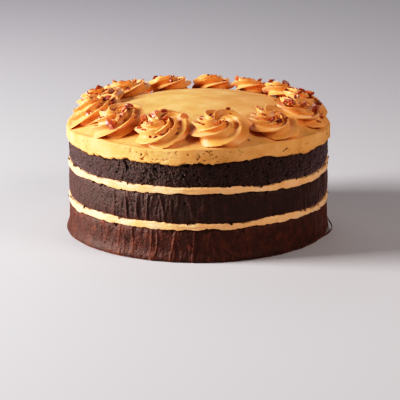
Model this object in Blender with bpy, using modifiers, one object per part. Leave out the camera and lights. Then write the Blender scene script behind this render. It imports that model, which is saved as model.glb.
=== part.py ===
"""Round chocolate layer cake with salted caramel buttercream.

Three dark sponges with two buttercream fillings between them, a thick buttercream top that
rises to a low dome, and a ring of thirteen piped rosettes with chopped caramel chips on them.
Sizes are in millimetres, +Z is up, and the origin is the centre of the flat underside.
Azimuths are in degrees from the front (-Y) toward the right (+X).
"""

import math
import random

import bmesh
import bpy
from mathutils import Matrix, Vector

MM = 0.001
SEED = 27

# The stack, baked in a 20 cm sandwich tin
COLUMNS = 72
SPONGE_RADIUS = 99.2
FILLING_RADIUS = 100.0
ICING_RADIUS = 100.6
BASE_LIP_RADIUS = 101.4
LEVEL_RADIUS = 86.0      # inside this the layers are even, outside it their edges wander
TOUCH_GAP = 0.3
LOWER_FILLING = (24.0, 28.6)
UPPER_FILLING = (50.9, 55.9)
ICING_UNDERSIDE = 72.7
ICING_TOP = 83.2
DOME_RISE = 18.8
DOME_LEAN_RIGHT = 2.4
DOME_LEAN_BACK = 1.0
ICING_EDGE_ROUND = 2.6

# How each layer's edge wanders: humps are (azimuth, half-width in degrees, rise in mm),
# ripples are (waves round the cake, size in mm, phase in radians)
HUMPS = {
    "lower_under": ((36, 13, 1.2), (-62, 20, -0.8), (150, 30, 0.9), (-140, 24, -0.8)),
    "lower_over": ((36, 13, 1.6), (-24, 12, 0.7), (150, 26, 1.2), (-140, 24, -0.5)),
    "upper_under": ((56, 20, -2.2), (-30, 12, -0.6), (140, 26, 1.0), (-120, 22, 0.8)),
    "upper_over": ((58, 18, -2.0), (-8, 9, 0.8), (28, 8, -1.0), (160, 26, 0.9)),
    "icing_under": ((26, 12, 2.7), (-66, 20, -1.9), (118, 16, -1.4), (190, 18, 1.5)),
    "icing_over": ((-22, 13, -1.4), (42, 18, 1.1), (74, 12, -0.9), (150, 30, 0.8)),
}
RIPPLES = {
    "lower_under": ((7, 0.35, 0.4), (13, 0.25, 1.9)),
    "lower_over": ((8, 0.35, 2.2), (15, 0.25, 0.3)),
    "upper_under": ((6, 0.35, 1.1), (14, 0.25, 2.6)),
    "upper_over": ((9, 0.35, 0.2), (17, 0.25, 1.4)),
    "icing_under": ((11, 0.35, 0.9), (23, 0.4, 2.3)),
    "icing_over": ((6, 0.25, 0.5), (13, 0.15, 1.2)),
}

# The side of a sponge: shallow upright flutes left by the paper that lined the tin
FLUTES = ((31, 0.22, 0.3), (23, 0.18, 1.7), (11, 0.16, 2.9))
BASE_CURL_AZIMUTH = 101
BASE_CURL_WIDTH = 5
BASE_CURL_REACH = 2.2

# The rosettes: azimuth, half-width, height
ROSETTE_REACH = 99.6
ROSETTES = (
    (10.6, 20.6, 13.5),
    (43.0, 19.2, 13.0),
    (74.5, 18.9, 12.5),
    (100.5, 17.2, 13.0),
    (125.0, 17.0, 12.0),
    (149.0, 16.4, 11.0),
    (172.0, 16.3, 12.0),
    (197.0, 17.6, 12.0),
    (225.0, 18.6, 13.0),
    (252.0, 18.6, 14.5),
    (280.0, 19.6, 16.0),
    (311.0, 20.0, 15.5),
    (340.6, 19.6, 13.5),
)
RIDGES = 6
RIDGE_CUT = (0.0, 0.76, 1.0, 0.76)      # depth across one ridge: a sharp crest, a wide hollow face
# Up the section: reach and rise as shares of half-width and height, ridge depth as a share of
# half-width, the way the depth is cut (0 sideways, 90 downward) and how far the ridges have wound
SECTION = (
    (0.94, 0.00, 0.11, 0, 0),
    (1.00, 0.15, 0.13, 6, 15),
    (0.97, 0.37, 0.14, 20, 37),
    (0.86, 0.61, 0.15, 38, 61),
    (0.68, 0.83, 0.14, 58, 87),
    (0.46, 0.98, 0.11, 78, 115),
    (0.25, 0.98, 0.06, 90, 146),
)
HOLLOW_RISE = 0.83
UNDERSIDE_RING = 0.45
LOBE = 0.07              # the last turn of the nozzle leaves one side higher
CREST_JITTER = 0.015

# Caramel chips on each rosette: bearing in degrees, distance out as a share of the half-width, length
CHIPS = (
    ((276, 0.74, 3.6), (37, 0.3, 4.0)),
    ((20, 0.6, 3.6), (300, 0.45, 3.8)),
    ((282, 0.78, 8.0), (345, 0.6, 5.0), (12, 0.35, 6.5), (88, 0.48, 8.0)),
    ((93, 0.25, 9.0), (60, 0.8, 5.5), (205, 0.45, 8.0)),
    ((180, 0.35, 7.0), (300, 0.75, 4.5)),
    ((150, 0.4, 6.5), (250, 0.5, 4.5)),
    ((80, 0.55, 4.5), (200, 0.4, 5.0)),
    ((100, 0.4, 5.5), (30, 0.7, 5.0)),
    ((335, 0.5, 5.0), (95, 0.75, 5.5), (210, 0.4, 6.0)),
    ((10, 0.35, 8.5), (262, 0.5, 6.5), (140, 0.4, 5.5)),
    ((250, 0.36, 7.0), (20, 0.45, 4.5), (62, 0.6, 5.5), (350, 0.75, 7.0), (185, 0.5, 6.0)),
    ((346, 0.74, 8.0), (105, 0.4, 5.0), (210, 0.45, 5.0)),
    ((215, 0.45, 6.5), (105, 0.2, 8.0), (290, 0.5, 4.5), (255, 0.72, 6.5)),
)
CHIP_SIDES = 5
CHIP_WIDTH = 0.34
CHIP_TAPER = 0.6
CHIP_THICKNESS = 0.62
CHIP_LIFT = 0.12

COLOURS = {
    "sponge": ((0.028, 0.008, 0.005, 1.0), 0.75),
    "filling": ((0.80, 0.48, 0.17, 1.0), 0.5),
    "icing": ((0.76, 0.46, 0.17, 1.0), 0.5),
    "rosette": ((0.78, 0.45, 0.14, 1.0), 0.45),
}
SHARP_ANGLE = 35


def clear_scene():
    for item in list(bpy.data.objects):
        bpy.data.objects.remove(item, do_unlink=True)


def new_collection(name):
    collection = bpy.data.collections.new(name)
    bpy.context.scene.collection.children.link(collection)
    return collection


def material(name):
    """A plain surface with the piece's colour and roughness."""
    colour, roughness = COLOURS[name]
    made = bpy.data.materials.get(name) or bpy.data.materials.new(name)
    made.use_nodes = True
    shader = made.node_tree.nodes["Principled BSDF"]
    shader.inputs["Base Color"].default_value = colour
    shader.inputs["Roughness"].default_value = roughness
    shader.inputs["Metallic"].default_value = 0.0
    made.diffuse_color = colour
    return made


def finish(piece, surface, anchor):
    """Give a piece its material, smooth shading with sharp creases, and its parent."""
    piece.data.materials.clear()
    piece.data.materials.append(material(surface))
    piece.data.shade_smooth()
    piece.data.set_sharp_from_angle(angle=math.radians(SHARP_ANGLE))
    piece.parent = anchor


def bake_modifiers(piece):
    """Turn a piece and its modifiers into plain mesh."""
    bpy.context.view_layer.update()
    depsgraph = bpy.context.evaluated_depsgraph_get()
    baked = bpy.data.meshes.new_from_object(piece.evaluated_get(depsgraph))
    piece.modifiers.clear()
    old = piece.data
    piece.data = baked
    bpy.data.meshes.remove(old)
    baked.name = piece.name


def turned(name, profile, collection):
    """Turn a (radius, height) profile, listed from the axis at the top down its outer side."""
    points = [(radius * MM, 0.0, height * MM) for radius, height in profile]
    edges = [(i, i + 1) for i in range(len(points) - 1)]
    mesh = bpy.data.meshes.new(name)
    mesh.from_pydata(points, edges, [])
    piece = bpy.data.objects.new(name, mesh)
    collection.objects.link(piece)
    screw = piece.modifiers.new("Turn", "SCREW")
    screw.steps = COLUMNS
    screw.render_steps = COLUMNS
    screw.use_merge_vertices = True
    screw.merge_threshold = 0.0001
    bake_modifiers(piece)
    return piece


def reshape(piece, rule):
    """Move every point by a rule on its radius, azimuth (radians) and height in mm."""
    for vertex in piece.data.vertices:
        x, y, z = (value / MM for value in vertex.co)
        radius, azimuth, height = rule(math.hypot(x, y), math.atan2(x, -y), z)
        place = (radius * math.sin(azimuth), -radius * math.cos(azimuth), height)
        vertex.co = Vector(place) * MM


def split_quads(piece):
    """Split bent quads along their shorter diagonal."""
    work = bmesh.new()
    work.from_mesh(piece.data)
    bmesh.ops.triangulate(work, faces=work.faces[:], quad_method="SHORT_EDGE")
    work.to_mesh(piece.data)
    work.free()


def wander(line, azimuth):
    """Height in mm that a layer's edge gains at an azimuth: a few humps and fine ripples."""
    total = 0.0
    for centre, width, rise in HUMPS[line]:
        away = math.degrees(math.remainder(azimuth - math.radians(centre), math.tau))
        total += rise * math.exp(-((away / width) ** 2))
    for waves, size, phase in RIPPLES[line]:
        total += size * math.sin(waves * azimuth + phase)
    return total


def edge_share(radius):
    """0 in the even middle of the cake, 1 at its side."""
    share = (radius - LEVEL_RADIUS) / (SPONGE_RADIUS - LEVEL_RADIUS)
    return min(max(share, 0.0), 1.0)


def dome(radius, azimuth):
    """Rise of the top in mm: a low dome that leans a little to the right and the back."""
    x = radius * math.sin(azimuth) / ICING_RADIUS
    y = -radius * math.cos(azimuth) / ICING_RADIUS
    fall = 1.0 - (radius / ICING_RADIUS) ** 2
    return fall * (DOME_RISE + DOME_LEAN_RIGHT * x + DOME_LEAN_BACK * y)


def line_height(line, level, radius, azimuth):
    return level + wander(line, azimuth) * edge_share(radius)


def icing_underside(radius, azimuth):
    return line_height("icing_under", ICING_UNDERSIDE, radius, azimuth) + dome(radius, azimuth)


def icing_surface(radius, azimuth):
    return line_height("icing_over", ICING_TOP, radius, azimuth) + dome(radius, azimuth)


def flutes(azimuth, height):
    """Depth of the paper flutes on a sponge's side in mm; they drift a little as they rise."""
    drift = 0.05 * math.sin(height / 9.0)
    return sum(size * math.sin(waves * (azimuth + drift) + phase) for waves, size, phase in FLUTES)


def between(rule_below, rule_above, low, high):
    """A rule that stretches a flat disc from low to high between two uneven surfaces."""
    def rule(radius, azimuth, height):
        share = (height - low) / (high - low)
        below = rule_below(radius, azimuth)
        above = rule_above(radius, azimuth)
        return radius, azimuth, below + share * (above - below)
    return rule


def fluted(rule):
    """The same rule with the flutes on the side."""
    def with_flutes(radius, azimuth, height):
        if radius > LEVEL_RADIUS + 1.0:
            radius += flutes(azimuth, height)
        return rule(radius, azimuth, height)
    return with_flutes


def sponge_bottom(collection):
    """The lowest sponge: flat underneath, its foot spread into a thin lip."""
    top = LOWER_FILLING[0]
    radius = SPONGE_RADIUS
    profile = (
        (0, top), (LEVEL_RADIUS, top), (radius - 0.3, top), (radius, top - 5), (radius + 0.2, 12),
        (radius + 0.5, 6), (BASE_LIP_RADIUS, 2), (BASE_LIP_RADIUS - 0.6, 0), (0, 0),
    )
    piece = turned("sponge_bottom", profile, collection)
    above = lambda radius, azimuth: line_height(
        "lower_under", top - TOUCH_GAP / 2, radius, azimuth)
    below = lambda radius, azimuth: 0.0
    stretch = fluted(between(below, above, 0.0, top))

    def rule(radius, azimuth, height):
        if radius > BASE_LIP_RADIUS - 1.0:
            away = math.degrees(math.remainder(azimuth - math.radians(BASE_CURL_AZIMUTH), math.tau))
            radius += BASE_CURL_REACH * math.exp(-((away / BASE_CURL_WIDTH) ** 2))
        return stretch(radius, azimuth, height)

    reshape(piece, rule)
    return piece


def filling(name, lines, levels, collection):
    """A ring-edged disc of buttercream, a little proud of the sponges, with a soft round edge."""
    low, high = levels
    middle = (low + high) / 2
    radius = FILLING_RADIUS
    profile = (
        (0, high), (LEVEL_RADIUS, high), (radius - 1.0, high), (radius - 0.1, middle + 0.9),
        (radius, middle - 0.8), (radius - 1.0, low), (LEVEL_RADIUS, low), (0, low),
    )
    piece = turned(name, profile, collection)
    below = lambda radius, azimuth: line_height(lines[0], low + TOUCH_GAP / 2, radius, azimuth)
    above = lambda radius, azimuth: line_height(lines[1], high - TOUCH_GAP / 2, radius, azimuth)
    reshape(piece, between(below, above, low, high))
    return piece


def sponge_middle(collection):
    low, high = LOWER_FILLING[1], UPPER_FILLING[0]
    radius = SPONGE_RADIUS
    profile = (
        (0, high), (LEVEL_RADIUS, high), (radius - 0.4, high), (radius, high - 5),
        (radius, (low + high) / 2), (radius + 0.1, low + 5), (radius - 0.4, low),
        (LEVEL_RADIUS, low), (0, low),
    )
    piece = turned("sponge_middle", profile, collection)
    below = lambda radius, azimuth: line_height("lower_over", low + TOUCH_GAP / 2, radius, azimuth)
    above = lambda radius, azimuth: line_height("upper_under", high - TOUCH_GAP / 2, radius, azimuth)
    reshape(piece, fluted(between(below, above, low, high)))
    return piece


def sponge_top(collection):
    """The top sponge: its upper face is domed and lies right under the icing."""
    low, high = UPPER_FILLING[1], ICING_UNDERSIDE
    radius = SPONGE_RADIUS - 0.3
    profile = (
        (0, high), (30, high), (60, high), (LEVEL_RADIUS, high), (radius - 0.6, high),
        (radius, high - 4), (radius + 0.1, low + 5), (radius - 0.4, low), (LEVEL_RADIUS, low), (0, low),
    )
    piece = turned("sponge_top", profile, collection)
    below = lambda radius, azimuth: line_height("upper_over", low + TOUCH_GAP / 2, radius, azimuth)
    above = lambda radius, azimuth: icing_underside(radius, azimuth) - TOUCH_GAP / 2
    reshape(piece, fluted(between(below, above, low, high)))
    return piece


def icing_top(collection):
    """The thick icing: a domed top, a softly rounded edge and a side that hangs proud of the sponge."""
    low, high = ICING_UNDERSIDE, ICING_TOP
    radius = ICING_RADIUS
    side_height = high - low
    profile = (
        (0, high), (25, high), (48, high), (66, high), (78, high), (LEVEL_RADIUS, high),
        (93, high), (radius - ICING_EDGE_ROUND, high),
        (radius - 0.7, low + 0.87 * side_height), (radius - 0.1, low + 0.6 * side_height),
        (radius, low + 0.2 * side_height), (radius - 0.5, low),
        (LEVEL_RADIUS, low), (60, low), (30, low), (0, low),
    )
    piece = turned("icing_top", profile, collection)
    below = lambda radius, azimuth: icing_underside(radius, azimuth) + TOUCH_GAP / 2
    reshape(piece, between(below, icing_surface, low, high))
    return piece


def rosette_place(index):
    azimuth, half_width, _ = ROSETTES[index]
    ring = ROSETTE_REACH - half_width
    turn = math.radians(azimuth)
    return ring * math.sin(turn), -ring * math.cos(turn)


def ground(x, y):
    """Height of the icing just under a point of a rosette, with the gap between them."""
    return icing_surface(math.hypot(x, y), math.atan2(x, -y)) + TOUCH_GAP


def rosette_ring(index, level, shake):
    """One ring of a rosette: a six-pointed star, wound a little further than the ring below."""
    _, half_width, height = ROSETTES[index]
    reach, rise, depth, lean, wound = level
    centre_x, centre_y = rosette_place(index)
    lean = math.radians(lean)
    start = math.radians(wound) + index * 0.7
    lobe_bearing = math.radians(60) + index * 0.9
    ring = []
    for step in range(RIDGES * len(RIDGE_CUT)):
        cut = RIDGE_CUT[step % len(RIDGE_CUT)] * depth * half_width
        bearing = start + math.tau * step / (RIDGES * len(RIDGE_CUT))
        out = reach * half_width * (1.0 + shake[step]) - cut * math.cos(lean)
        up = rise * height * (1.0 + LOBE * math.cos(bearing - lobe_bearing)) - cut * math.sin(lean)
        x = centre_x + out * math.sin(bearing)
        y = centre_y - out * math.cos(bearing)
        ring.append(Vector((x, y, ground(x, y) + max(up, 0.0))))
    return ring


def rosette(index, collection):
    """A piped star rosette: star rings wound up a bun-shaped section, closed over a hollow."""
    draw = random.Random(SEED + index)
    count = RIDGES * len(RIDGE_CUT)
    shake = [draw.uniform(-CREST_JITTER, 0) for _ in range(count)]
    centre_x, centre_y = rosette_place(index)
    height = ROSETTES[index][2]
    first = rosette_ring(index, SECTION[0], shake)
    centre = Vector((centre_x, centre_y, 0.0))
    inner = []
    for point in first:
        spot = centre.lerp(point, UNDERSIDE_RING)
        spot.z = ground(spot.x, spot.y)
        inner.append(spot)
    rings = [inner, first] + [rosette_ring(index, level, shake) for level in SECTION[1:]]
    floor_point = Vector((centre_x, centre_y, ground(centre_x, centre_y)))
    top_point = floor_point + Vector((0.0, 0.0, HOLLOW_RISE * height))

    work = bmesh.new()
    grid = [[work.verts.new(point * MM) for point in ring] for ring in rings]
    bottom = work.verts.new(floor_point * MM)
    top = work.verts.new(top_point * MM)
    for column in range(count):
        following = (column + 1) % count
        work.faces.new((bottom, grid[0][following], grid[0][column]))
        work.faces.new((top, grid[-1][column], grid[-1][following]))
        for lower, upper in zip(grid, grid[1:]):
            work.faces.new((lower[column], lower[following], upper[following], upper[column]))
    mesh = bpy.data.meshes.new(f"rosette_{index + 1:02d}")
    work.to_mesh(mesh)
    work.free()
    piece = bpy.data.objects.new(mesh.name, mesh)
    collection.objects.link(piece)
    split_quads(piece)
    return piece


def section_height(index, reach):
    """Height in mm of a rosette's hollow faces over the icing, at a distance out."""
    _, half_width, height = ROSETTES[index]
    heights = [(0.0, HOLLOW_RISE * height)]
    for out, rise, depth, lean, _ in reversed(SECTION[1:]):
        heights.append((out, rise * height - depth * half_width * math.sin(math.radians(lean))))
    for (near, low), (far, high) in zip(heights, heights[1:]):
        if reach <= far:
            return low + (high - low) * (reach - near) / (far - near)
    return 0.0


def chip(name, index, place, draw, collection):
    """One chopped chip: a tapered five-sided shard, half sunk in the rosette at an odd angle."""
    bearing, reach, length = place
    half_width = ROSETTES[index][1]
    centre_x, centre_y = rosette_place(index)
    turn = math.radians(bearing)
    x = centre_x + reach * half_width * math.sin(turn)
    y = centre_y - reach * half_width * math.cos(turn)
    z = ground(x, y) + section_height(index, reach) + CHIP_LIFT * length
    work = bmesh.new()
    bmesh.ops.create_cone(
        work, cap_ends=True, segments=CHIP_SIDES, radius1=CHIP_WIDTH * length,
        radius2=CHIP_WIDTH * CHIP_TAPER * length, depth=length)
    for vertex in work.verts:
        vertex.co.x *= CHIP_THICKNESS
        vertex.co *= draw.uniform(0.88, 1.08)
    bmesh.ops.triangulate(work, faces=work.faces[:])
    tip = Matrix.Rotation(math.radians(draw.uniform(35, 80)), 4, "Y")
    roll = Matrix.Rotation(draw.uniform(0, math.tau), 4, "Z")
    place_matrix = Matrix.Translation(Vector((x, y, z)) * MM) @ roll @ tip @ Matrix.Scale(MM, 4)
    bmesh.ops.transform(work, matrix=place_matrix, verts=work.verts[:])
    mesh = bpy.data.meshes.new(name)
    work.to_mesh(mesh)
    work.free()
    piece = bpy.data.objects.new(name, mesh)
    collection.objects.link(piece)
    return piece


def add_chips(piece, index):
    """Join a rosette's chips to it with one Boolean union."""
    draw = random.Random(SEED * 10 + index)
    heap = new_collection(f"chips_{index + 1:02d}")
    chips = [
        chip(f"chip_{index + 1:02d}_{number}", index, place, draw, heap)
        for number, place in enumerate(CHIPS[index], 1)
    ]
    union = piece.modifiers.new("Chips", "BOOLEAN")
    union.operation = "UNION"
    union.operand_type = "COLLECTION"
    union.collection = heap
    union.solver = "EXACT"
    bake_modifiers(piece)
    for item in chips:
        bpy.data.objects.remove(item, do_unlink=True)
    bpy.data.collections.remove(heap)


def build():
    clear_scene()
    cake = new_collection("chocolate_caramel_layer_cake")
    anchor = bpy.data.objects.new("cake_anchor", None)
    cake.objects.link(anchor)

    for make in (sponge_bottom, sponge_middle, sponge_top):
        piece = make(cake)
        split_quads(piece)
        finish(piece, "sponge", anchor)
    for name, lines, levels in (
        ("filling_lower", ("lower_under", "lower_over"), LOWER_FILLING),
        ("filling_upper", ("upper_under", "upper_over"), UPPER_FILLING),
    ):
        piece = filling(name, lines, levels, cake)
        split_quads(piece)
        finish(piece, "filling", anchor)
    icing = icing_top(cake)
    split_quads(icing)
    finish(icing, "icing", anchor)
    for index in range(len(ROSETTES)):
        piece = rosette(index, cake)
        add_chips(piece, index)
        finish(piece, "rosette", anchor)


build()
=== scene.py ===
"""Chocolate layer cake with salted caramel buttercream: the finish of each piece, round the CAD model.

Shapes are worked out in millimetres and put into the meshes in metres. Azimuths are measured
from the front (-Y) toward the right (+X).
"""

import math

import bpy
import numpy as np
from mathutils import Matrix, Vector
from mathutils.bvhtree import BVHTree


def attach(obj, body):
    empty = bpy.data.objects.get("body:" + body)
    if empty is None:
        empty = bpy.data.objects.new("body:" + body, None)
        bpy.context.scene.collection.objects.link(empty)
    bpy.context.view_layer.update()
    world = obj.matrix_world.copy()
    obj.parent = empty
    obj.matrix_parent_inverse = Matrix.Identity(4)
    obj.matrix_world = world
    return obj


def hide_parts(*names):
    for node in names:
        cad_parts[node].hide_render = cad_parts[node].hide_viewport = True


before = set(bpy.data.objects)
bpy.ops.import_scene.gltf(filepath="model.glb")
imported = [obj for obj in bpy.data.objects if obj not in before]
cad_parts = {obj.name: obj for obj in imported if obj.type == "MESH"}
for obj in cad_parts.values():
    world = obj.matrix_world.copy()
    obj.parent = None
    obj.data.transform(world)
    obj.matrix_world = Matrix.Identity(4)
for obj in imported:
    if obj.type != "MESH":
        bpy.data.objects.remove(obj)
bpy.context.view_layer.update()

# Camera
# A long lens about 1.6 m away, looking down by about 14 degrees on the cake's front.
MM = 0.001                       # metres in a millimetre
CAMERA_DISTANCE = 1600.0
CAMERA_ELEVATION = math.radians(14.2)
CAMERA_CENTRE_HEIGHT = 45.0      # what the elevation is measured round
AIM_HEIGHT = 20.5                # the point in the middle of the picture
FOCAL_PIXELS = 2080.0
PICTURE_WIDTH = 400.0
SENSOR_WIDTH = 36.0
CAKE_MIDDLE_PIXEL = 198.5

camera_data = bpy.data.cameras.new("camera")
camera_data.sensor_width = SENSOR_WIDTH
camera_data.lens = FOCAL_PIXELS / PICTURE_WIDTH * SENSOR_WIDTH
camera_data.shift_x = (PICTURE_WIDTH / 2 - CAKE_MIDDLE_PIXEL) / PICTURE_WIDTH
camera = bpy.data.objects.new("camera", camera_data)
bpy.context.scene.collection.objects.link(camera)
camera.location = Vector((
    0.0,
    -CAMERA_DISTANCE * math.cos(CAMERA_ELEVATION),
    CAMERA_CENTRE_HEIGHT + CAMERA_DISTANCE * math.sin(CAMERA_ELEVATION),
)) * MM
aim = Vector((0.0, 0.0, AIM_HEIGHT * MM))
camera.rotation_euler = (aim - camera.location).to_track_quat("-Z", "Y").to_euler()
bpy.context.scene.camera = camera


# Chocolate sponges
# Three moist, nearly black cocoa sponges baked in paper-lined tins and stacked. Paper leaves satin
# skin and upright creases on the two lower ones; the top one is trimmed, so its pitted crumb shows.
SPONGE_RADIUS = 99.2             # in mm, as every length here is
ICING_RADIUS = 100.6
LEVEL_RADIUS = 86.0              # inside it the layers are level
LINE_GAP = 0.12                  # between neighbours, so that no two faces lie on each other

# Sponge, filling and icing meet at these lines. Each wanders by a millimetre or two at its edge,
# as cut sponge and spread buttercream do, and the two of the icing follow the dome.
LEVELS = {
    "lower_under": 24.0,
    "lower_over": 28.6,
    "upper_under": 50.9,
    "upper_over": 55.9,
    "icing_under": 72.7,
    "icing_over": 83.2,
}
DOME_RISE = 18.8
DOME_LEAN_RIGHT = 2.4
DOME_LEAN_BACK = 1.0
# azimuth and half-width in degrees, and rise
HUMPS = {
    "lower_under": ((36, 13, 1.2), (-62, 20, -0.8), (150, 30, 0.9), (-140, 24, -0.8)),
    "lower_over": ((36, 13, 1.6), (-24, 12, 0.7), (150, 26, 1.2), (-140, 24, -0.5)),
    "upper_under": ((56, 20, -2.2), (-30, 12, -0.6), (140, 26, 1.0), (-120, 22, 0.8)),
    "upper_over": ((58, 18, -2.0), (-8, 9, 0.8), (28, 8, -1.0), (160, 26, 0.9)),
    "icing_under": ((26, 12, 2.7), (-58, 14, -1.9), (118, 16, -1.4), (190, 18, 1.5)),
    "icing_over": ((-22, 13, -1.4), (42, 18, 1.1), (84, 22, -2.4), (-82, 24, -3.0), (150, 30, 0.8)),
}
# waves round the cake, size and phase
RIPPLES = {
    "lower_under": ((7, 0.35, 0.4), (13, 0.25, 1.9)),
    "lower_over": ((8, 0.35, 2.2), (15, 0.25, 0.3)),
    "upper_under": ((6, 0.35, 1.1), (14, 0.25, 2.6)),
    "upper_over": ((9, 0.35, 0.2), (17, 0.25, 1.4)),
    "icing_under": ((11, 0.35, 0.9), (23, 0.4, 2.3)),
    "icing_over": ((6, 0.25, 0.5), (13, 0.15, 1.2)),
}


def wander(line, azimuth):
    """Sum of Gaussian humps (azimuth, half-width, rise) and sine ripples (waves, size, phase), in mm."""
    total = np.zeros_like(azimuth)
    for centre, width, rise in HUMPS[line]:
        away = np.degrees(np.angle(np.exp(1j * (azimuth - math.radians(centre)))))
        total = total + rise * np.exp(-((away / width) ** 2))
    for waves, size, phase in RIPPLES[line]:
        total = total + size * np.sin(waves * azimuth + phase)
    return total


def dome(radius, azimuth):
    """Parabola over the radius that falls to nothing at the rim, tilted a little right and back."""
    share = radius / ICING_RADIUS
    lean = DOME_LEAN_RIGHT * share * np.sin(azimuth) - DOME_LEAN_BACK * share * np.cos(azimuth)
    return (1.0 - share**2) * (DOME_RISE + lean)


def line_height(line, radius, azimuth):
    """Level of a line plus its wander, which fades in from LEVEL_RADIUS to the sponge's side."""
    edge = np.clip((radius - LEVEL_RADIUS) / (SPONGE_RADIUS - LEVEL_RADIUS), 0.0, 1.0)
    height = LEVELS[line] + wander(line, azimuth) * edge
    return height + dome(radius, azimuth) if line.startswith("icing") else height


GRAIN_TILT = np.array([
    [0.36, 0.48, -0.8],
    [-0.8, 0.6, 0.0],
    [0.48, 0.64, 0.6],
])


def grain(points, size, seed):
    """Smooth noise from -1 to 1: random values at the corners of a tilted lattice, eased between them.

    The large odd numbers scramble each corner's whole-number place, and the seed, into its value.
    """
    cell = points @ GRAIN_TILT / size
    corner = np.floor(cell).astype(np.int64)
    ease = cell - corner
    ease = ease * ease * (3.0 - 2.0 * ease)
    total = np.zeros(points.shape[:-1])
    for dx in (0, 1):
        for dy in (0, 1):
            for dz in (0, 1):
                key = (corner[..., 0] + dx) * 73856093
                key = key ^ ((corner[..., 1] + dy) * 19349663)
                key = key ^ ((corner[..., 2] + dz) * 83492791)
                key = (key ^ (seed * 2654435)) & 0xFFFFFFFF
                key = ((key ^ (key >> 15)) * 2246822519) & 0xFFFFFFFF
                key = ((key ^ (key >> 13)) * 3266489917) & 0xFFFFFFFF
                value = ((key ^ (key >> 16)) & 0xFFFF) / 32767.5 - 1.0
                weight = (ease[..., 0] if dx else 1 - ease[..., 0])
                weight = weight * (ease[..., 1] if dy else 1 - ease[..., 1])
                weight = weight * (ease[..., 2] if dz else 1 - ease[..., 2])
                total += value * weight
    return total


def pits(points, size, seed, share):
    """0 on open ground, rising to 1 in the deepest hollows of the noise; share is how common they are."""
    noise = grain(points, size, seed)
    return np.clip((noise - (1.0 - share)) / share, 0.0, 1.0)


def bumps(points, layer, seed):
    """Noise of one layer, given as its height and the width of its lumps."""
    height, width = layer
    return height * grain(points, width, seed)


def hollows(points, layer, seed):
    """Pits of one layer, given as their depth, their width and how common they are."""
    depth, width, share = layer
    return depth * pits(points, width, seed, share)


def polar(radius, azimuth, height):
    """Points (x, y, z) from radius, azimuth and height arrays."""
    return np.stack([radius * np.sin(azimuth), -radius * np.cos(azimuth), height], axis=-1)


def closed_piece(name, rows, top, bottom, relief=None):
    """A closed skin: rows of points round the axis from top to bottom, a fan to a point at each end."""
    count, columns = rows.shape[:2]
    points = np.concatenate([rows.reshape(-1, 3), [top], [bottom]]) * MM
    row, column = np.meshgrid(np.arange(count - 1), np.arange(columns), indexing="ij")
    after = (column + 1) % columns
    quads = np.stack([
        row * columns + column, (row + 1) * columns + column,
        (row + 1) * columns + after, row * columns + after,
    ], axis=-1).reshape(-1, 4)
    column = np.arange(columns)
    after = (column + 1) % columns
    last = (count - 1) * columns
    caps = np.concatenate([
        np.stack([np.full(columns, count * columns), column, after], axis=-1),
        np.stack([np.full(columns, count * columns + 1), last + after, last + column], axis=-1),
    ])
    mesh = bpy.data.meshes.new(name)
    mesh.from_pydata(points.tolist(), [], quads.tolist() + caps.tolist())
    mesh.shade_smooth()
    if relief is not None:
        values = mesh.attributes.new("relief", "FLOAT", "POINT")
        values.data.foreach_set("value", np.append(relief.ravel(), (0.0, 0.0)))
    piece = bpy.data.objects.new(name, mesh)
    bpy.context.scene.collection.objects.link(piece)
    return piece


def linear(code):
    """sRGB hex to linear RGBA."""
    values = [int(code[i:i + 2], 16) / 255 for i in (1, 3, 5)]
    return tuple(v / 12.92 if v <= 0.04045 else ((v + 0.055) / 1.055) ** 2.4 for v in values) + (1.0,)


def new_material(name):
    """An empty node tree with a Principled shader; gives the material, its tree and the shader."""
    material = bpy.data.materials.new(name)
    material.use_nodes = True
    tree = material.node_tree
    return material, tree, tree.nodes["Principled BSDF"]


def per_mm(size):
    """Scale of a noise texture whose features are this many mm wide."""
    return 1.0 / (size * MM)


def add_node(tree, kind, settings=None, inputs=None, stops=()):
    """Adds a node, sets its properties, sets or links its inputs, and sets the colour stops it may have."""
    node = tree.nodes.new(kind)
    for key, value in (settings or {}).items():
        setattr(node, key, value)
    for key, value in (inputs or {}).items():
        if isinstance(value, bpy.types.NodeSocket):
            tree.links.new(value, node.inputs[key])
        else:
            node.inputs[key].default_value = value
    for number, (place, code) in enumerate(stops):
        bands = node.color_ramp.elements
        band = bands[number] if number < len(bands) else bands.new(place)
        band.position = place
        band.color = linear(code)
    return node


SPONGE_COLUMNS = 1200
SPONGE_ROWS = 48
INNER_RINGS = (0.0, 30.0, 60.0, LEVEL_RADIUS, 94.0)
# From here on a pair of values is a layer of bumps, height and width, and three values are a layer
# of pits: depth, width and how common they are.
TOP_WEAR = 0.9                   # how far the upper edge is worn back
TOP_WEAR_CHANGE = (0.7, 2.4)
TOP_WEAR_POWER = 14
LOW_WEAR = 0.8
LOW_WEAR_POWER = 12
BARREL = 0.15                    # how far the wall swells halfway up
CREASE_COUNT = 230               # random ones, besides those named below
CREASE_HALF_LENGTHS = (5.0, 14.0)
CREASE_WIDTHS = (0.5, 1.1)
CREASE_SIZES = (0.12, 0.5)       # these three are ranges to draw from
CREASE_RISE = 0.95
NAMED_LEAN = 0.0012              # radians for each mm of height, and for its square
NAMED_BEND = 0.00008
RANDOM_LEAN = 0.0016
RANDOM_BEND = 0.0001
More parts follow.
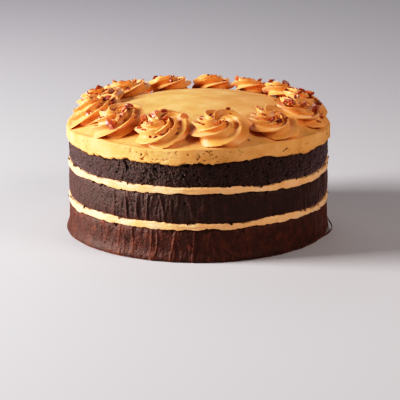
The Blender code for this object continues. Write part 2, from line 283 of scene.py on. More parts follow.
# azimuth in degrees, middle height, half length, width and size of the deepest creases, in mm
MIDDLE_CREASES = (
    (-60.0, 38, 12, 0.9, 0.5),
    (-52.0, 42, 9, 0.8, 0.5),
    (-38.5, 40, 12, 0.8, 0.8),
    (-32.0, 39, 11, 0.7, 1.0),
    (-27.0, 40, 12, 0.8, 0.9),
    (-22.2, 40, 13, 0.6, 1.0),
    (-15.3, 41, 11, 0.8, 0.9),
    (24.0, 40, 10, 0.9, 0.5),
    (48.0, 38, 12, 0.9, 0.5),
)
BOTTOM_CREASES = (
    (-47.0, 16, 9, 0.8, 0.7),
    (-36.0, 15, 10, 0.8, 0.8),
    (-29.0, 14, 10, 0.8, 0.7),
    (-20.3, 15, 9, 0.6, 0.8),
    (-17.6, 13, 11, 0.6, 0.9),
    (-10.8, 12, 12, 0.8, 0.8),
    (-2.0, 12, 14, 0.6, 1.0),
    (30.0, 14, 10, 0.9, 0.5),
)
azimuth_line = np.linspace(0.0, math.tau, SPONGE_COLUMNS, endpoint=False)


def creases(azimuth, height, named, low, high, seed):
    """Height in mm of upright creases: the named ones, then random smaller ones.

    Each is a narrow ridge across its own line, exp(-|distance / width|^1.5), on a line that leans
    and bends with the height, and it fades with the fourth power toward its ends.
    """
    draw = np.random.default_rng(seed)
    lines = [(math.radians(a), m, r, w, s, draw.normal(0.0, NAMED_LEAN), draw.normal(0.0, NAMED_BEND))
             for a, m, r, w, s in named]
    for _ in range(CREASE_COUNT):
        lines.append((
            draw.uniform(0.0, math.tau), draw.uniform(low, high), draw.uniform(*CREASE_HALF_LENGTHS),
            draw.uniform(*CREASE_WIDTHS), draw.uniform(*CREASE_SIZES),
            draw.normal(0.0, RANDOM_LEAN), draw.normal(0.0, RANDOM_BEND),
        ))
    relief = np.zeros_like(azimuth)
    for centre, middle, reach, width, size, lean, bend in lines:
        line = centre + lean * (height - middle) + bend * (height - middle) ** 2
        away = np.angle(np.exp(1j * (azimuth - line))) * SPONGE_RADIUS / width
        fade = np.exp(-(((height - middle) / reach) ** 4))
        relief += CREASE_RISE * size * np.exp(-np.abs(away) ** 1.5) * fade
    return relief


def sponge(name, low_line, high_line, full_radius, surface, foot=None):
    """A wall of rows from rim to rim shaped by surface, then level inner rows and a point at each end.

    The rims are worn back by high powers of the height's share, and the wall swells by a sine.
    """
    share = np.linspace(1.0, 0.0, SPONGE_ROWS)[:, None]
    azimuth = np.broadcast_to(azimuth_line, (SPONGE_ROWS, SPONGE_COLUMNS))
    side = np.full_like(azimuth, SPONGE_RADIUS)
    low = line_height(low_line, side, azimuth) + LINE_GAP if low_line else np.zeros_like(azimuth)
    high = line_height(high_line, side, azimuth) - LINE_GAP
    height = low + share * (high - low)
    spots = polar(side, azimuth, height)
    worn = (TOP_WEAR + bumps(spots, TOP_WEAR_CHANGE, 29)) * share**TOP_WEAR_POWER
    if not foot:
        worn = worn + LOW_WEAR * (1.0 - share) ** LOW_WEAR_POWER
    radius = full_radius - worn + BARREL * np.sin(math.pi * share)
    if foot:
        radius = radius + foot(azimuth, height)
    relief = surface(azimuth, height, spots)
    radius = radius + relief
    ring = np.ones(SPONGE_COLUMNS)
    above = []
    for inner in INNER_RINGS:
        level = line_height(high_line, inner * ring, azimuth_line) - LINE_GAP
        above.append(polar(inner * ring, azimuth_line, level)[None])
    below = []
    for inner in reversed(INNER_RINGS):
        level = line_height(low_line, inner * ring, azimuth_line) + LINE_GAP if low_line else 0.0 * ring
        below.append(polar(inner * ring, azimuth_line, level)[None])
    rows = np.concatenate(above[1:] + [polar(radius, azimuth, height)] + below[:-1])
    # The wall's relief goes to the material, which paints shade in its hollows and light on its ridges.
    flat = np.zeros((len(INNER_RINGS) - 1, SPONGE_COLUMNS))
    painted_shading_relief = np.concatenate([flat, relief, flat])
    return closed_piece(name, rows, above[0][0, 0], below[-1][0, 0], relief=painted_shading_relief)


PAPER_LUMP = (0.28, 7.0)
PAPER_STREAK = (0.2, 2.2)
STREAK_STRETCH = np.array([1.0, 1.0, 0.4])
PAPER_CRUMB = (0.2, 1.0)
PAPER_HOLE = (1.0, 1.9, 0.3)
PAPER_HOLE_LOW = 0.8             # share of the holes' depth at the foot
PAPER_CREASE = 0.9
PAPER_SINK = 0.3


def papered(named, low, high, seed):
    """Surface of a lower sponge: creases, a lumpy skin, fine crumb, and pits that deepen to the top."""
    def surface(azimuth, height, points):
        crease = creases(azimuth, height, named, low, high, seed)
        lump = bumps(points, PAPER_LUMP, seed) + bumps(points * STREAK_STRETCH, PAPER_STREAK, seed + 1)
        crumb = bumps(points, PAPER_CRUMB, seed + 2)
        torn = np.clip((height - low) / (high - low), 0.0, 1.0) ** 2
        hole = (PAPER_HOLE_LOW + torn) * hollows(points, PAPER_HOLE, seed + 3)
        return crease * PAPER_CREASE - PAPER_SINK + lump + crumb - hole
    return surface


CUT_LUMP = (0.35, 6.0)
CUT_CLOD = (0.32, 2.1)
CUT_CRUMB = (0.34, 1.05)
CUT_HOLE = (1.8, 1.9, 0.42)
CUT_CAVE = (1.6, 3.4, 0.32)
CUT_SINK = 0.1


def open_crumb(azimuth, height, points):
    """Surface of the trimmed sponge: coarse crumb with many small holes and a few larger ones."""
    lump = bumps(points, CUT_LUMP, 31) + bumps(points, CUT_CLOD, 32)
    crumb = bumps(points, CUT_CRUMB, 33)
    hole = hollows(points, CUT_HOLE, 34) + hollows(points, CUT_CAVE, 35)
    return lump + crumb - hole - CUT_SINK


FOOT_SPREAD = 2.4
# share of the spread that the skirt has on the whole, more at the left, and in ripples
FOOT_SHARE = 0.75
FOOT_SHARE_LEFT = 0.3
FOOT_RIPPLE = 0.08
FOOT_RIPPLE_WAVES = 5
FOOT_MIDDLE = 1.8
FOOT_REACH = 4.2
FOOT_TUCK = 1.0
FOOT_TUCK_HEIGHT = 1.4
KNOB_AZIMUTH = math.radians(101)
KNOB_WIDTH = math.radians(5)
KNOB_REACH = 0.9
KNOB_MIDDLE = 3.5
KNOB_HALF_HEIGHT = 3.0


def spread_foot(azimuth, height):
    """A low skirt round the base, widest at the left, tucked under, with a knob of crust at the right.

    Skirt and knob are Gaussians over the height, and the tuck is a parabola below FOOT_TUCK_HEIGHT.
    """
    skirt = FOOT_SPREAD * np.exp(-(((height - FOOT_MIDDLE) / FOOT_REACH) ** 2))
    ripple = FOOT_RIPPLE * np.sin(FOOT_RIPPLE_WAVES * azimuth + 1)
    skirt = skirt * (FOOT_SHARE - FOOT_SHARE_LEFT * np.sin(azimuth) + ripple)
    tuck = FOOT_TUCK * np.clip(1.0 - height / FOOT_TUCK_HEIGHT, 0.0, 1.0) ** 2
    away = np.angle(np.exp(1j * (azimuth - KNOB_AZIMUTH))) / KNOB_WIDTH
    knob = KNOB_REACH * np.exp(-(away**2)) * np.exp(-(((height - KNOB_MIDDLE) / KNOB_HALF_HEIGHT) ** 2))
    return skirt - tuck + knob


CRUMB_GRAIN = 0.8
CRUMB_CELL = 1.5
CRUMB_PATCH = 6.0
CRUMB_GRAIN_DEPTH = 0.5
CRUMB_CELL_DEPTH = 0.9
PATCH_STOPS = (0.32, 0.5, 0.68)
# Painted shade and light: between these reliefs the colour is scaled from dark in the deepest pits to a
# little brighter on the proudest ridges.
DEEPEST_RELIEF = -0.9
PROUDEST_RELIEF = 0.3
PIT_PAINTED_SHADE = 0.2
RIDGE_PAINTED_LIGHT = 1.1
ROUGHER_CRUMB = 0.25
MOIST_TINT = "#ffd6c8"


def cocoa_sponge(name, codes, rough, shine, veil, grit):
    """Moist cocoa sponge as baked or cut: red-black patches, with painted shade in its pits.

    The fat in it gives a broad satin shine, and loose crumb lights up at a grazing angle.
    """
    material, tree, shader = new_material(name)
    place = add_node(tree, "ShaderNodeTexCoord").outputs["Object"]
    crumb = add_node(tree, "ShaderNodeTexNoise", None, {
        "Vector": place, "Scale": per_mm(CRUMB_GRAIN), "Detail": 5.0, "Roughness": 0.65})
    drift = add_node(tree, "ShaderNodeTexNoise", None, {
        "Vector": place, "Scale": per_mm(CRUMB_PATCH), "Detail": 5.0, "Roughness": 0.62})
    patches = add_node(tree, "ShaderNodeValToRGB", None, {"Fac": drift.outputs["Fac"]},
                       zip(PATCH_STOPS, codes))
    # The relief attribute paints shade into the sponge's pits and creases' hollows, and light onto its proud
    # ridges.
    relief = add_node(tree, "ShaderNodeAttribute", {"attribute_name": "relief"})
    shade = add_node(tree, "ShaderNodeMapRange", None, {
        "Value": relief.outputs["Fac"], "From Min": DEEPEST_RELIEF, "From Max": PROUDEST_RELIEF,
        "To Min": PIT_PAINTED_SHADE, "To Max": RIDGE_PAINTED_LIGHT})
    colour = add_node(tree, "ShaderNodeVectorMath", {"operation": "SCALE"}, {
        "Vector": patches.outputs["Color"], "Scale": shade.outputs["Result"]})
    dull = add_node(tree, "ShaderNodeMapRange", None, {
        "Value": crumb.outputs["Fac"], "To Min": rough, "To Max": rough + ROUGHER_CRUMB})
    cells = add_node(tree, "ShaderNodeTexVoronoi", None, {
        "Vector": place, "Scale": per_mm(CRUMB_CELL), "Detail": 1.0, "Roughness": 0.7})
    grains = add_node(tree, "ShaderNodeBump", {"invert": True}, {
        "Height": cells.outputs["Distance"], "Strength": grit, "Distance": CRUMB_CELL_DEPTH * MM})
    bump = add_node(tree, "ShaderNodeBump", None, {
        "Height": crumb.outputs["Fac"], "Strength": 0.6, "Distance": CRUMB_GRAIN_DEPTH * MM,
        "Normal": grains.outputs["Normal"]})
    tree.links.new(colour.outputs["Vector"], shader.inputs["Base Color"])
    tree.links.new(dull.outputs["Result"], shader.inputs["Roughness"])
    tree.links.new(bump.outputs["Normal"], shader.inputs["Normal"])
    shader.inputs["Specular IOR Level"].default_value = shine
    shader.inputs["Specular Tint"].default_value = linear(MOIST_TINT)
    shader.inputs["Sheen Weight"].default_value = 1.0
    shader.inputs["Sheen Roughness"].default_value = 0.3
    shader.inputs["Sheen Tint"].default_value = linear(veil)
    return material


# name, line below, line above, radius, surface, foot and finish of each
SPONGES = (
    ("sponge_bottom", None, "lower_under", 99.2, papered(BOTTOM_CREASES, 0.0, 24.0, 11), spread_foot,
     cocoa_sponge("papered_sponge_bottom", ("#2a0802", "#401206", "#5e2812"), 0.42, 0.5, "#d88468", 0.25)),
    ("sponge_middle", "lower_over", "upper_under", 99.1, papered(MIDDLE_CREASES, 28.6, 51.0, 21), None,
     cocoa_sponge("papered_sponge_middle", ("#160301", "#220603", "#37130a"), 0.42, 0.55, "#f0b0a8", 0.2)),
    ("sponge_top", "upper_over", "icing_under", 98.8, open_crumb, None,
     cocoa_sponge("trimmed_sponge", ("#120402", "#1e0805", "#34150e"), 0.44, 0.5, "#d8b4bc", 0.6)),
)
for sponge_name, low, high, full_radius, surface, foot, finish in SPONGES:
    piece = sponge(f"{sponge_name}_crumb", low, high, full_radius, surface, foot)
    piece.data.materials.append(finish)
    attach(piece, "root")
    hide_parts(sponge_name)


# Flake of crust
# At the right a thin flake of the bottom sponge's crust has come away with the paper. It is still
# fixed at both ends, and stands off the side in between.
FLAKE_FROM = math.radians(66)
FLAKE_TO = math.radians(97)
FLAKE_LOW = 1.5
FLAKE_CLIMB = 5.0
FLAKE_HALF_HEIGHT = 0.9
FLAKE_STAND = 3.6
FLAKE_ROOT = 0.6                 # how far its ends stand off
FLAKE_THICK = 0.5
FLAKE_END_SHARE = 0.3            # height of its ends as a share of its middle
FLAKE_RAGGED = (0.3, 2.5)
FLAKE_COLUMNS = 60
FLAKE_SIDES = 16


def crust_flake():
    """A flat strip along the foot: its section is a narrow ellipse, carried round the cake.

    The strip stands off by a squared sine of the way along it, narrows to its ends, and climbs
    with the third power of the way.
    """
    way = np.linspace(0.0, 1.0, FLAKE_COLUMNS)[:, None]
    section = np.linspace(math.tau, 0.0, FLAKE_SIDES, endpoint=False)[None, :]
    azimuth = FLAKE_FROM + way * (FLAKE_TO - FLAKE_FROM) + 0 * section
    swell = np.sin(math.pi * way)
    middle = FLAKE_LOW + FLAKE_CLIMB * way**3
    half = FLAKE_HALF_HEIGHT * (FLAKE_END_SHARE + (1.0 - FLAKE_END_SHARE) * swell)
    height = middle + half * np.cos(section)
    ragged = bumps(polar(SPONGE_RADIUS, azimuth, height), FLAKE_RAGGED, 36)
    stand = SPONGE_RADIUS + FLAKE_ROOT + FLAKE_STAND * swell**2
    radius = stand + FLAKE_THICK / 2 * np.sin(section)
    rows = polar(radius, azimuth, height + ragged * swell)
    return closed_piece("crust_flake", rows, rows[0].mean(axis=0), rows[-1].mean(axis=0))


piece = crust_flake()
piece.data.materials.append(bpy.data.materials["papered_sponge_bottom"])
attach(piece, "root")


# Fillings
# Two layers of caramel buttercream spread between the sponges. Pressed out until nearly flush with
# them, their edge is a soft, smooth band with wavering lips and a fold along it.
FILLING_RADIUS = 99.5
FILLING_ROWS = 18
FILLING_RINGS = (0.0, 50.0, LEVEL_RADIUS, 95.0)
UPPER_LIP = ((0.9, 5.5), (0.55, 2.0))
UPPER_LIP_RANGE = (-1.2, 0.5)
LOWER_LIP = ((0.9, 6.0), (0.4, 2.1))
LOWER_LIP_RANGE = (-0.5, 1.0)
BAND_SET_BACK = 1.2
BAND_BULGE = 0.45
BAND_BULGE_CHANGE = (0.45, 9.0)
BAND_ROUND = 0.9
BAND_ROUND_POWER = 0.6
BAND_PROUDEST = 0.7
FOLD_DEPTH = 0.35
FOLD_WIDTH = 0.22                # as a share of the band's half height
FOLD_WANDER = (0.5, 13.0)
FOLD_MEAN = 0.6
FOLD_CHANGE = (0.4, 11.0)
BAND_STREAK = (0.14, 1.8)
BAND_STREAK_STRETCH = np.array([0.25, 0.25, 2.2])
BAND_FINE = (0.07, 1.2)

CREAM_PATCH = 14.0
CREAM_GRAIN = 0.9
CREAM_GRAIN_DEPTH = 0.3
CREAM_STOPS = (0.3, 0.5, 0.7)
# Painted shade: between these two reliefs the pits go over to brown, as shade in them would look.
PIT_SHADE_STARTS = -0.15             # relief at which a pit begins to look brown, and is fully so
PIT_SHADE_FULL = -0.55
PIT_SHADE_SHARE = 0.9
CREAM_IOR = 1.46
CREAM_DEPTH = 1.2


def buttercream(name, codes, rough, veil, pit_shade="#8a4a1c", shine=0.4):
    """Butter and icing sugar beaten with caramel, then spread or piped: satin and faintly see-through.

    Tan and gold drift through it in patches, and where the relief attribute is low, in pits, the
    colour goes over to a brown painted shade.
    """
    material, tree, shader = new_material(name)
    place = add_node(tree, "ShaderNodeTexCoord").outputs["Object"]
    cloud = add_node(tree, "ShaderNodeTexNoise", None, {
        "Vector": place, "Scale": per_mm(CREAM_PATCH), "Detail": 4.0, "Roughness": 0.55})
    drift = add_node(tree, "ShaderNodeValToRGB", None, {"Fac": cloud.outputs["Fac"]},
                     zip(CREAM_STOPS, codes))
    relief = add_node(tree, "ShaderNodeAttribute", {"attribute_name": "relief"})
    depth = add_node(tree, "ShaderNodeMapRange", None, {
        "Value": relief.outputs["Fac"], "From Min": PIT_SHADE_STARTS, "From Max": PIT_SHADE_FULL,
        "To Min": 0.0, "To Max": PIT_SHADE_SHARE})
    colour = add_node(tree, "ShaderNodeMix", {"data_type": "RGBA"}, {
        "Factor": depth.outputs["Result"], 6: drift.outputs["Color"], 7: linear(pit_shade)})
    fine = add_node(tree, "ShaderNodeTexNoise", None, {
        "Vector": place, "Scale": per_mm(CREAM_GRAIN), "Detail": 4.0, "Roughness": 0.6})
    bump = add_node(tree, "ShaderNodeBump", None, {
        "Height": fine.outputs["Fac"], "Strength": 0.2, "Distance": CREAM_GRAIN_DEPTH * MM})
    tree.links.new(colour.outputs[2], shader.inputs["Base Color"])
    tree.links.new(bump.outputs["Normal"], shader.inputs["Normal"])
    shader.inputs["Roughness"].default_value = rough
    shader.inputs["IOR"].default_value = CREAM_IOR
    shader.inputs["Specular IOR Level"].default_value = shine
    shader.inputs["Coat Weight"].default_value = 0.08
    shader.inputs["Coat Roughness"].default_value = 0.4
    shader.inputs["Sheen Weight"].default_value = veil
    shader.inputs["Sheen Roughness"].default_value = 0.5
    shader.inputs["Subsurface Weight"].default_value = 0.15
    shader.inputs["Subsurface Radius"].default_value = (1.0, 0.42, 0.12)
    shader.inputs["Subsurface Scale"].default_value = CREAM_DEPTH * MM
    return material


def lip(spots, waves, seeds, limits):
    """Two layers of noise along a lip, held between two limits."""
    return np.clip(bumps(spots, waves[0], seeds[0]) + bumps(spots, waves[1], seeds[1]), *limits)


def filling(name, low_line, high_line, seed):
    """A band whose section is a squashed half ellipse with a fold, between wandering lips.

    The fold is a Gaussian groove along the middle of the band. Level rows close it inside the cake.
    """
    ring = np.ones(SPONGE_COLUMNS)
    turn = np.linspace(math.pi / 2, -math.pi / 2, FILLING_ROWS)[:, None]
    azimuth = np.broadcast_to(azimuth_line, (FILLING_ROWS, SPONGE_COLUMNS))
    low = line_height(low_line, SPONGE_RADIUS * ring, azimuth_line) + LINE_GAP
    high = line_height(high_line, SPONGE_RADIUS * ring, azimuth_line) - LINE_GAP
    spots = polar(FILLING_RADIUS * ring, azimuth_line, 0 * ring)
    high = high + lip(spots, UPPER_LIP, (seed, seed + 1), UPPER_LIP_RANGE)
    low = low + lip(spots, LOWER_LIP, (seed + 2, seed + 6), LOWER_LIP_RANGE)
    middle = (low + high) / 2
    half = (high - low) / 2
    height = middle + half * np.sin(turn)
    bulge = BAND_BULGE + bumps(spots, BAND_BULGE_CHANGE, seed + 3)
    radius = FILLING_RADIUS - BAND_SET_BACK + bulge + BAND_ROUND * np.abs(np.cos(turn)) ** BAND_ROUND_POWER
    fold = np.exp(-(((np.sin(turn) - bumps(spots, FOLD_WANDER, seed + 7)) / FOLD_WIDTH) ** 2))
    radius = radius - FOLD_DEPTH * fold * (FOLD_MEAN + bumps(spots, FOLD_CHANGE, seed + 8))
    points = polar(radius, azimuth, height)
    streaks = bumps(points * BAND_STREAK_STRETCH, BAND_STREAK, seed + 4)
    radius = radius + streaks + bumps(points, BAND_FINE, seed + 5)
    radius = np.minimum(radius, FILLING_RADIUS + BAND_PROUDEST)
    over = [polar(r * ring, azimuth_line, line_height(high_line, r * ring, azimuth_line) - LINE_GAP)[None]
            for r in FILLING_RINGS]
    under = [polar(r * ring, azimuth_line, line_height(low_line, r * ring, azimuth_line) + LINE_GAP)[None]
             for r in reversed(FILLING_RINGS)]
    rows = np.concatenate(over[1:] + [polar(radius, azimuth, height)] + under[:-1])
    return closed_piece(name, rows, over[0][0, 0], under[-1][0, 0])


filling_cream = buttercream("filling_buttercream", ("#ecaa64", "#f5bd80", "#fccc9c"), 0.48, 0.3)
for filling_name, low, high, seed in (
    ("filling_lower", "lower_under", "lower_over", 41),
    ("filling_upper", "upper_under", "upper_over", 51),
):
    piece = filling(f"{filling_name}_cream", low, high, seed)
    piece.data.materials.append(filling_cream)
    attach(piece, "root")
    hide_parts(filling_name)


# Icing
# A thick coat over the domed top sponge, levelled with a palette knife: long faint strokes over
# the top, a softly rounded edge, and a side with small pits and a torn lower lip.
ICING_COLUMNS = 960
ICING_TOP_ROWS = 64
ICING_ROW_POWER = 0.7            # below 1, the rows lie closer toward the edge
ICING_SIDE_ROWS = 34
ICING_EDGE_ROUND = 1.2
ICING_INNER_RINGS = (97.0, LEVEL_RADIUS, 60.0, 30.0, 0.0)
RIM_RISE = 1.9
RIM_INSET = 1.6
RIM_WIDTH = 1.5
RIM_MEAN = 0.55
RIM_FRONT = 0.35
RIM_CHANGE = (0.25, 15.0)
STROKE_TURN = math.radians(38)
STROKE_BEND = 0.0022
STROKE_STRETCH = 0.08
STROKE_BROAD = (0.26, 7.0)
STROKE_FINE = (0.13, 2.8)
STROKE_FADE = 12.0               # the strokes fade out over this distance from the edge
TOP_PITS = (0.5, 1.3, 0.06)
TOP_FINE = (0.05, 1.5)
LIP_WAVES = ((1.3, 4.6), (1.1, 2.0))
LIP_MEAN = 0.65
LIP_CHANGE = (0.65, 21.0)
LIP_RANGE = (-0.5, 1.8)
BEAD_PLACE = 0.86                # share of the way down the side
BEAD_WIDTH = 0.08
BEAD_RISE = 0.35
BEAD_MEAN = 0.5
BEAD_CHANGE = (0.5, 8.0)
TURN_IN_START = 0.88
TURN_IN = 1.1
SIDE_WAVE = (0.25, 16.0)
SIDE_STREAK = (0.16, 2.2)
SIDE_STREAK_STRETCH = np.array([0.3, 0.3, 1.6])
SIDE_FINE = (0.07, 1.2)
SIDE_PITS = (2.2, 1.2, 0.55)
SIDE_BLISTERS = (1.4, 2.5, 0.3)
PITTED_MEAN = 0.45
PITTED_CHANGE = (0.9, 9.0)
SIDE_PIT_DEEPEST = 0.8
SIDE_PIT_FADE = 4.0              # pits are full from a quarter of the way down


def knife_strokes(points):
    """Height in mm of long low ridges across the top: noise on a coordinate that crosses the strokes."""
    along = points[..., 0] * math.cos(STROKE_TURN) + points[..., 1] * math.sin(STROKE_TURN)
    across = points[..., 1] * math.cos(STROKE_TURN) - points[..., 0] * math.sin(STROKE_TURN)
    across = across + STROKE_BEND * along**2
    stroke = np.stack([across, along * STROKE_STRETCH, 0 * along], axis=-1)
    return bumps(stroke, STROKE_BROAD, 61) + bumps(stroke, STROKE_FINE, 62)


def raised_rim(radius, azimuth):
    """Height in mm of the rim that the knife leaves: a Gaussian ridge just inside the edge.

    It is uneven round the cake, and highest at the front, where the knife came off.
    """
    ridge = np.exp(-(((ICING_RADIUS - RIM_INSET - radius) / RIM_WIDTH) ** 2))
    edge = polar(ICING_RADIUS, azimuth, 0 * azimuth)
    uneven = RIM_MEAN + RIM_FRONT * np.cos(azimuth) + bumps(edge, RIM_CHANGE, 55)
    return RIM_RISE * ridge * uneven


def icing_top(azimuth_ring):
    """Rows on the dome from the middle out, with the rim, the strokes and fine pits; gives relief too."""
    share = np.linspace(0.0, 1.0, ICING_TOP_ROWS)[1:, None]
    out = (ICING_RADIUS - ICING_EDGE_ROUND) * share**ICING_ROW_POWER
    azimuth = np.broadcast_to(azimuth_ring, (ICING_TOP_ROWS - 1, ICING_COLUMNS))
    radius = np.broadcast_to(out, azimuth.shape)
    height = line_height("icing_over", radius, azimuth) + raised_rim(radius, azimuth)
    points = polar(radius, azimuth, height)
    fade = np.clip((ICING_RADIUS - radius) / STROKE_FADE, 0.0, 1.0)
    relief = bumps(points, TOP_FINE, 63) - hollows(points, TOP_PITS, 60)
    return polar(radius, azimuth, height + knife_strokes(points) * fade + relief), relief


def icing_side(azimuth_ring):
    """Rows down the side: a quarter round, a bead and a turned-in, torn lower lip, with pits in patches."""
    ring = np.ones(ICING_COLUMNS)
    share = np.linspace(0.0, 1.0, ICING_SIDE_ROWS)[1:, None]
    azimuth = np.broadcast_to(azimuth_ring, (ICING_SIDE_ROWS - 1, ICING_COLUMNS))
    shoulder = (ICING_RADIUS - ICING_EDGE_ROUND) * ring
    high = line_height("icing_over", shoulder, azimuth_ring) + raised_rim(shoulder, azimuth_ring)
    low = line_height("icing_under", SPONGE_RADIUS * ring, azimuth_ring) + LINE_GAP
    spots = polar(ICING_RADIUS * ring, azimuth_ring, 0 * ring)
    torn = bumps(spots, LIP_WAVES[0], 64) + bumps(spots, LIP_WAVES[1], 65)
    low = low + np.clip(torn * (LIP_MEAN + bumps(spots, LIP_CHANGE, 58)), *LIP_RANGE)
    drop = share * (high - low)
    height = high - drop
    corner = np.clip(1.0 - drop / ICING_EDGE_ROUND, 0.0, 1.0)
    radius = ICING_RADIUS - ICING_EDGE_ROUND * (1.0 - np.sqrt(1.0 - corner**2))
    bead = np.exp(-(((share - BEAD_PLACE) / BEAD_WIDTH) ** 2))
    radius = radius + BEAD_RISE * bead * (BEAD_MEAN + bumps(spots, BEAD_CHANGE, 59))
    turned = np.clip((share - TURN_IN_START) / (1.0 - TURN_IN_START), 0.0, 1.0)
    wave = np.sin(math.pi * share) * bumps(spots, SIDE_WAVE, 66)
    radius = radius - TURN_IN * turned**2 + wave
    points = polar(radius, azimuth, height)
    pitted = np.clip(PITTED_MEAN + bumps(points, PITTED_CHANGE, 57), 0.0, 1.0)
    hole = hollows(points, SIDE_PITS, 67) + hollows(points, SIDE_BLISTERS, 56)
    hole = np.minimum(hole * pitted, SIDE_PIT_DEEPEST) * np.clip(share * SIDE_PIT_FADE, 0.0, 1.0)
    streak = bumps(points * SIDE_STREAK_STRETCH, SIDE_STREAK, 68)
    relief = streak + bumps(points, SIDE_FINE, 69) - hole
    return polar(radius + relief, azimuth, height), relief


def icing():
    """Top rows, side rows, then level rows underneath, closed at a point above and below."""
    azimuth_ring = np.linspace(0.0, math.tau, ICING_COLUMNS, endpoint=False)
    ring = np.ones(ICING_COLUMNS)
    top_rows, top_relief = icing_top(azimuth_ring)
    side_rows, side_relief = icing_side(azimuth_ring)
    under = [polar(r * ring, azimuth_ring,
                   line_height("icing_under", r * ring, azimuth_ring) + LINE_GAP)[None]
             for r in ICING_INNER_RINGS]
    rows = np.concatenate([top_rows, side_rows] + under[:-1])
    # The relief goes to the material, which paints brown shade into the pits.
    flat = np.zeros((len(ICING_INNER_RINGS) - 1, ICING_COLUMNS))
    painted_shading_relief = np.concatenate([top_relief, side_relief, flat])
    top_point = (0.0, 0.0, float(line_height("icing_over", np.zeros(1), np.zeros(1))[0]))
    return closed_piece("icing_top_coat", rows, top_point, under[-1][0, 0], relief=painted_shading_relief)


icing_piece = icing()
# the brown colour given here is painted shade for the icing's pits
icing_piece.data.materials.append(
    buttercream("spread_buttercream", ("#da9850", "#e6a862", "#f0b678"), 0.72, 0.0, "#8c4a18", 0.22))
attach(icing_piece, "root")
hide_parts("icing_top")


# Rosettes
# Thirteen swirls piped with a large open star nozzle held upright: a rope of cream laid once round
# and then wound into the middle. The star keeps its direction while the rope goes round, so its
# ridges start as teeth at the foot and climb over the rope.
ROSETTE_REACH = 99.6            # how far out the rosettes go
# azimuth in degrees, half width and height of each
ROSETTES = (
    (10.6, 20.6, 13.5),
    (43.0, 19.2, 13.0),
    (74.5, 18.9, 12.5),
    (100.5, 17.2, 13.0),
    (125.0, 17.0, 12.0),
    (149.0, 16.4, 11.0),
    (172.0, 16.3, 12.0),
    (197.0, 17.6, 12.0),
    (225.0, 18.6, 13.0),
    (252.0, 18.6, 14.5),
    (280.0, 19.6, 16.0),
    (311.0, 20.0, 15.5),
    (340.6, 19.6, 13.5),
)
RIDGES = 5
RIDGE_DEPTH = 0.74
RIDGE_EASE = 0.03
RIDGE_TWIST = 1.0
ROPE_COLUMNS = 96
ROPE_ROWS = 240
ROPE_TURNS = 1.75
ROPE_START = math.radians(-95)
ROPE_START_CHANGE = 0.35
ROPE_TURNS_CHANGE = (-0.06, 0.1)
ROPE_SHARE = 0.40               # the rope's half width as a share of the rosette's
ROPE_SQUASH = 0.84
ROPE_SPREAD = 1.04
ROPE_SWELL = 1.1
ROPE_SEAT = 0.76                # height of the first turn's middle, in squashed half widths
ROPE_CROWN = 0.88               # depth of the last turn's middle under the tip, in the same
WIND_IN = (0.5, 1.3)            # turns between which the ring draws in, and those in which it climbs
CLIMB = (0.35, 1.15)
INNER_RING = 0.33
INNER_THINNING = 0.12
TAIL_TURNS = 0.42
TAIL_THINNING = 0.86
TAIL_POWER = 1.5
TAIL_DRAW_IN = 0.55
TAIL_LIFT = 1.2
RIDGE_CHANGE = (0.3, 0.8)
CREST_WIDTH = 3.0
CREST_RAGGED = (0.06, 0.8)
CREST_STRETCH = (0.2, 30.0)
ROPE_LUMPS = (0.05, 0.5)
WAVE_STRETCH = 3.0
# teeth at the foot of the first turn: height, push outward, and turns over which they fade
TEETH_HEIGHT = 3.5
TEETH_PUSH = 0.03
TEETH_END = (0.12, 0.35)
SKIN_VOXEL = 0.42
SKIN_SOFTENING = 0.4
CREAM_GAP = 0.15


def rosette_middle(index):
    """The rosette's place on the ring."""
    azimuth, half_width, _ = ROSETTES[index]
    ring = ROSETTE_REACH - half_width
    return ring * math.sin(math.radians(azimuth)), -ring * math.cos(math.radians(azimuth))


def icing_height(x, y):
    """Height of the icing's top under points x, y."""
    return line_height("icing_over", np.hypot(x, y), np.arctan2(x, -y))


def ease(value, low, high):
    """Smooth step from 0 at low to 1 at high."""
    share = np.clip((value - low) / (high - low), 0.0, 1.0)
    return share * share * (3.0 - 2.0 * share)


